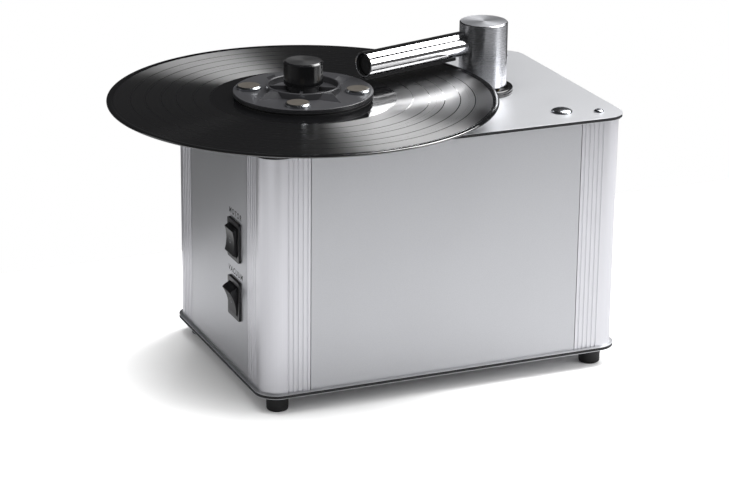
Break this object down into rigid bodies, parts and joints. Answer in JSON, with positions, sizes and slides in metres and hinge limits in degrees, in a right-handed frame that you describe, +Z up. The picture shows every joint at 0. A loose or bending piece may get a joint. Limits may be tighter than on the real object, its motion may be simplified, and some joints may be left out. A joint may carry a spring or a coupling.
{
  "type": "record cleaning machine",
  "caption": "Benchtop vinyl record cleaning machine: flat-panelled case with rounded grooved corner posts, driven record spindle with clamp and a swinging sprung suction arm.",
  "frame": {"origin": "centre of the whole machine's bounding box, on the surface that its feet stand on", "axes": "+X runs along the long side of the case away from the switches, +Y towards the mains inlet at the back, +Z up"},
  "size_m": [0.4028, 0.3122, 0.2699],
  "materials": {
    "white_skin": "satin white coated skin of the aluminium composite plate",
    "extrusion": "satin anodised extrusion with lengthwise drawing lines",
    "panel_skin": "fine brushed anodised skin",
    "turned_aluminium": "turned and polished",
    "black_rubber": "matt",
    "zinc_steel": "zinc plated",
    "bright_steel": "polished",
    "bearing_steel": "ground",
    "black_plastic": "fine satin",
    "gloss_black": "glossy",
    "vinyl": "glossy, with fine concentric grooves",
    "grey_plastic": "smooth",
    "tank_plastic": "translucent natural",
    "grey_clamp": "satin charcoal moulding",
    "magnet_steel": "bevelled and plated",
    "brass": "bright",
    "motor_steel": "drawn can",
    "felt": "soft pile"
  },
  "bodies": {
    "case": {"arm_bush": "brass", "arm_bush_nut": "brass", "arm_guide_ring": "gloss_black", "back_panel": "panel_skin", "bottom_plate": "white_skin", "bracket_standoffs": "brass", "carriage_bolts": "bright_steel", "corner_post_back_left": "extrusion", "corner_post_back_right": "extrusion", "corner_post_front_left": "extrusion", "corner_post_front_right": "extrusion", "corner_screws": "bright_steel", "exhaust_grille": "black_plastic", "fan_housing": "motor_steel", "feet": "black_rubber", "front_panel": "panel_skin", "gearmotor": "motor_steel", "inlet_contacts": "brass", "left_panel": "panel_skin", "machine_screws": "zinc_steel", "mains_inlet": "black_plastic", "motor_bracket": "zinc_steel", "motor_capacitor": "grey_plastic", "motor_hold_down": "zinc_steel", "motor_mount_ring": "black_rubber", "motor_switch": "black_plastic", "right_panel": "panel_skin", "spindle_bearings": "bearing_steel", "spindle_housing": "turned_aluminium", "suction_duct": "black_plastic", "tank_bracket": "zinc_steel", "tank_gasket": "black_rubber", "tank_lid": "tank_plastic", "terminal_block": "grey_plastic", "top_plate": "white_skin", "vacuum_motor": "motor_steel", "vacuum_switch": "black_plastic", "waste_tank": "tank_plastic"},
    "platter": {"spindle_shaft": "bearing_steel", "platter": "black_plastic", "platter_mat": "black_rubber", "vinyl_record": "vinyl", "drive_coupling": "turned_aluminium", "gearmotor_shaft": "bearing_steel"},
    "clamp": {"clamp_seal": "black_rubber", "clamp_disc": "grey_clamp", "clamp_inserts": "magnet_steel", "clamp_knob": "gloss_black"},
    "arm_swivel": {"thrust_washer": "black_plastic", "lift_spring": "bearing_steel"},
    "arm": {"arm_pipe": "turned_aluminium", "arm_stop_collar": "zinc_steel", "arm_column": "turned_aluminium", "arm_tube": "turned_aluminium", "arm_end_plug": "black_plastic", "arm_lips": "felt"},
    "motor_rocker": {"motor_rocker": "gloss_black"},
    "vacuum_rocker": {"vacuum_rocker": "gloss_black"},
    "fuse_drawer": {"fuse_drawer": "black_plastic"},
    "drain_cap": {"drain_cap": "black_rubber"}
  },
  "joints": [
    {"name": "platter_spin", "type": "hinge", "parent": "case", "child": "platter", "pos_m": [-0.05067, -0.00532, 0.2174], "axis": [0, 0, 1], "continuous": true},
    {"name": "clamp_lift", "type": "slide", "parent": "platter", "child": "clamp", "axis": [0, 0, 1], "range_m": [0, 0.06]},
    {"name": "arm_swing", "type": "hinge", "parent": "case", "child": "arm_swivel", "pos_m": [0.12083, 0.03537, 0.2114], "axis": [0, 0, 1], "range_deg": [-110, 75]},
    {"name": "arm_lift", "type": "slide", "parent": "arm_swivel", "child": "arm", "axis": [0, 0, -1], "range_m": [0, 0.0047], "stiffness_N_per_m": 400, "springref_m": -0.012, "deforming": ["lift_spring"]},
    {"name": "motor_rocker_tilt", "type": "hinge", "parent": "case", "child": "motor_rocker", "pos_m": [-0.10458, -0.00133, 0.1252], "axis": [0, 1, 0], "range_deg": [-15, 15]},
    {"name": "vacuum_rocker_tilt", "type": "hinge", "parent": "case", "child": "vacuum_rocker", "pos_m": [-0.10458, -0.00133, 0.077], "axis": [0, 1, 0], "range_deg": [0, 30]},
    {"name": "fuse_drawer_slide", "type": "slide", "parent": "case", "child": "fuse_drawer", "axis": [0, 1, 0], "range_m": [0, 0.018]},
    {"name": "drain_cap_slide", "type": "slide", "parent": "case", "child": "drain_cap", "axis": [0, 1, 0], "range_m": [0, 0.02]}
  ]
}
